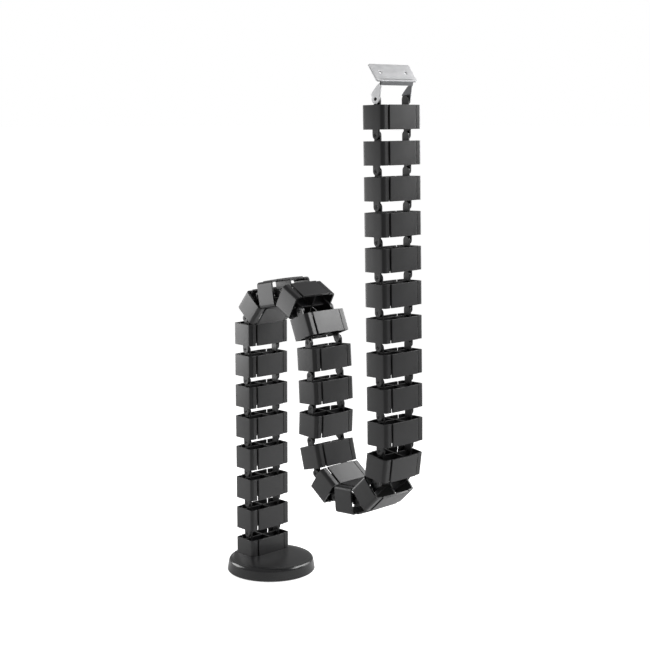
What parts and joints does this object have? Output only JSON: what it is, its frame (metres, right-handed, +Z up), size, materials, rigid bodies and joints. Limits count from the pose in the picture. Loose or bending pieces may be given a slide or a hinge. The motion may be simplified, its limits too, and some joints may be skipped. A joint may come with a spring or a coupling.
{
  "type": "cable spine",
  "caption": "Cable spine: a chain of hinged open ring links with cable channels on a weighted round base, with a steel bracket that screws under a desk top.",
  "frame": {"origin": "centre of the base's underside, on the floor", "axes": "+Z up, X along the hinge axes, the chain runs in the YZ plane with its desk end towards -Y"},
  "size_m": [0.1184, 0.3069, 0.6696],
  "materials": {
    "link_plastic": "satin moulded charcoal",
    "base_plastic": "satin moulded charcoal",
    "weight_steel": "plain steel disc",
    "pad_rubber": "matt foot pad",
    "bracket_steel": "zinc-plated sheet steel"
  },
  "bodies": {
    "base": {"base_cover": "base_plastic", "base_weight": "weight_steel", "base_pad": "pad_rubber"},
    "link_01": {"link_01": "link_plastic"},
    "link_02": {"link_02": "link_plastic"},
    "link_03": {"link_03": "link_plastic"},
    "link_04": {"link_04": "link_plastic"},
    "link_05": {"link_05": "link_plastic"},
    "link_06": {"link_06": "link_plastic"},
    "link_07": {"link_07": "link_plastic"},
    "link_08": {"link_08": "link_plastic"},
    "link_09": {"link_09": "link_plastic"},
    "link_10": {"link_10": "link_plastic"},
    "link_11": {"link_11": "link_plastic"},
    "link_12": {"link_12": "link_plastic"},
    "link_13": {"link_13": "link_plastic"},
    "link_14": {"link_14": "link_plastic"},
    "link_15": {"link_15": "link_plastic"},
    "link_16": {"link_16": "link_plastic"},
    "link_17": {"link_17": "link_plastic"},
    "link_18": {"link_18": "link_plastic"},
    "link_19": {"link_19": "link_plastic"},
    "link_20": {"link_20": "link_plastic"},
    "link_21": {"link_21": "link_plastic"},
    "link_22": {"link_22": "link_plastic"},
    "link_23": {"link_23": "link_plastic"},
    "link_24": {"link_24": "link_plastic"},
    "link_25": {"link_25": "link_plastic"},
    "link_26": {"link_26": "link_plastic"},
    "link_27": {"link_27": "link_plastic"},
    "link_28": {"link_28": "link_plastic"},
    "link_29": {"link_29": "link_plastic"},
    "desk_bracket": {"desk_bracket": "bracket_steel"}
  },
  "joints": [
    {"name": "hinge_01", "type": "hinge", "parent": "base", "child": "link_01", "pos_m": [0, 0.017, 0.0512], "axis": [1, 0, 0], "range_deg": [-39.6, 39.6]},
    {"name": "hinge_02", "type": "hinge", "parent": "link_01", "child": "link_02", "pos_m": [0, 0.017, 0.0932], "axis": [-1, 0, 0], "range_deg": [-39.6, 39.6]},
    {"name": "hinge_03", "type": "hinge", "parent": "link_02", "child": "link_03", "pos_m": [0, 0.017, 0.1352], "axis": [1, 0, 0], "range_deg": [-39.6, 39.6]},
    {"name": "hinge_04", "type": "hinge", "parent": "link_03", "child": "link_04", "pos_m": [0, 0.017, 0.1772], "axis": [-1, 0, 0], "range_deg": [-39.6, 39.6]},
    {"name": "hinge_05", "type": "hinge", "parent": "link_04", "child": "link_05", "pos_m": [0, 0.017, 0.2192], "axis": [1, 0, 0], "range_deg": [-39.6, 39.6]},
    {"name": "hinge_06", "type": "hinge", "parent": "link_05", "child": "link_06", "pos_m": [0, 0.017, 0.2612], "axis": [-1, 0, 0], "range_deg": [-39.6, 39.6]},
    {"name": "hinge_07", "type": "hinge", "parent": "link_06", "child": "link_07", "pos_m": [0, 0.017, 0.3032], "axis": [1, 0, 0], "range_deg": [-39.6, 32]},
    {"name": "hinge_08", "type": "hinge", "parent": "link_07", "child": "link_08", "pos_m": [0, 0.017, 0.3452], "axis": [-1, 0, 0], "range_deg": [-0.1, 79.1]},
    {"name": "hinge_09", "type": "hinge", "parent": "link_08", "child": "link_09", "pos_m": [0, -0.00971, 0.37761], "axis": [1, 0, 0], "range_deg": [-79.1, 0.1]},
    {"name": "hinge_10", "type": "hinge", "parent": "link_09", "child": "link_10", "pos_m": [0, -0.05093, 0.38565], "axis": [-1, 0, 0], "range_deg": [-0.1, 79.1]},
    {"name": "hinge_11", "type": "hinge", "parent": "link_10", "child": "link_11", "pos_m": [0, -0.08786, 0.36563], "axis": [1, 0, 0], "range_deg": [-79.1, 0.1]},
    {"name": "hinge_12", "type": "hinge", "parent": "link_11", "child": "link_12", "pos_m": [0, -0.10363, 0.32671], "axis": [-1, 0, 0], "range_deg": [-21.5, 57.7]},
    {"name": "hinge_13", "type": "hinge", "parent": "link_12", "child": "link_13", "pos_m": [0, -0.10656, 0.28481], "axis": [1, 0, 0], "range_deg": [-40.6, 38.6]},
    {"name": "hinge_14", "type": "hinge", "parent": "link_13", "child": "link_14", "pos_m": [0, -0.10876, 0.24287], "axis": [-1, 0, 0], "range_deg": [-34.1, 45.1]},
    {"name": "hinge_15", "type": "hinge", "parent": "link_14", "child": "link_15", "pos_m": [0, -0.10692, 0.20091], "axis": [1, 0, 0], "range_deg": [-22.2, 57]},
    {"name": "hinge_16", "type": "hinge", "parent": "link_15", "child": "link_16", "pos_m": [0, -0.11772, 0.16032], "axis": [-1, 0, 0], "range_deg": [-79.1, 0.1]},
    {"name": "hinge_17", "type": "hinge", "parent": "link_16", "child": "link_17", "pos_m": [0, -0.15187, 0.13586], "axis": [1, 0, 0], "range_deg": [-0.1, 79.1]},
    {"name": "hinge_18", "type": "hinge", "parent": "link_17", "child": "link_18", "pos_m": [0, -0.19377, 0.1387], "axis": [-1, 0, 0], "range_deg": [-79.1, 0.1]},
    {"name": "hinge_19", "type": "hinge", "parent": "link_18", "child": "link_19", "pos_m": [0, -0.22431, 0.16753], "axis": [1, 0, 0], "range_deg": [-0.1, 79.1]},
    {"name": "hinge_20", "type": "hinge", "parent": "link_19", "child": "link_20", "pos_m": [0, -0.22954, 0.20921], "axis": [-1, 0, 0], "range_deg": [-47.8, 30]},
    {"name": "hinge_21", "type": "hinge", "parent": "link_20", "child": "link_21", "pos_m": [0, -0.22881, 0.2512], "axis": [1, 0, 0], "range_deg": [-38, 40]},
    {"name": "hinge_22", "type": "hinge", "parent": "link_21", "child": "link_22", "pos_m": [0, -0.22778, 0.29319], "axis": [-1, 0, 0], "range_deg": [-39.6, 39.6]},
    {"name": "hinge_23", "type": "hinge", "parent": "link_22", "child": "link_23", "pos_m": [0, -0.22675, 0.33518], "axis": [1, 0, 0], "range_deg": [-39.6, 39.6]},
    {"name": "hinge_24", "type": "hinge", "parent": "link_23", "child": "link_24", "pos_m": [0, -0.22573, 0.37716], "axis": [-1, 0, 0], "range_deg": [-39.6, 39.6]},
    {"name": "hinge_25", "type": "hinge", "parent": "link_24", "child": "link_25", "pos_m": [0, -0.2247, 0.41915], "axis": [1, 0, 0], "range_deg": [-39.6, 39.6]},
    {"name": "hinge_26", "type": "hinge", "parent": "link_25", "child": "link_26", "pos_m": [0, -0.22367, 0.46114], "axis": [-1, 0, 0], "range_deg": [-39.6, 39.6]},
    {"name": "hinge_27", "type": "hinge", "parent": "link_26", "child": "link_27", "pos_m": [0, -0.22265, 0.50313], "axis": [1, 0, 0], "range_deg": [-39.6, 39.6]},
    {"name": "hinge_28", "type": "hinge", "parent": "link_27", "child": "link_28", "pos_m": [0, -0.22162, 0.54511], "axis": [-1, 0, 0], "range_deg": [-39.6, 39.6]},
    {"name": "hinge_29", "type": "hinge", "parent": "link_28", "child": "link_29", "pos_m": [0, -0.2206, 0.5871], "axis": [1, 0, 0], "range_deg": [-39.6, 39.6]},
    {"name": "bracket_hinge", "type": "hinge", "parent": "link_29", "child": "desk_bracket", "pos_m": [0, -0.21957, 0.62909], "axis": [-1, 0, 0], "range_deg": [-35.6, 84.4]}
  ]
}
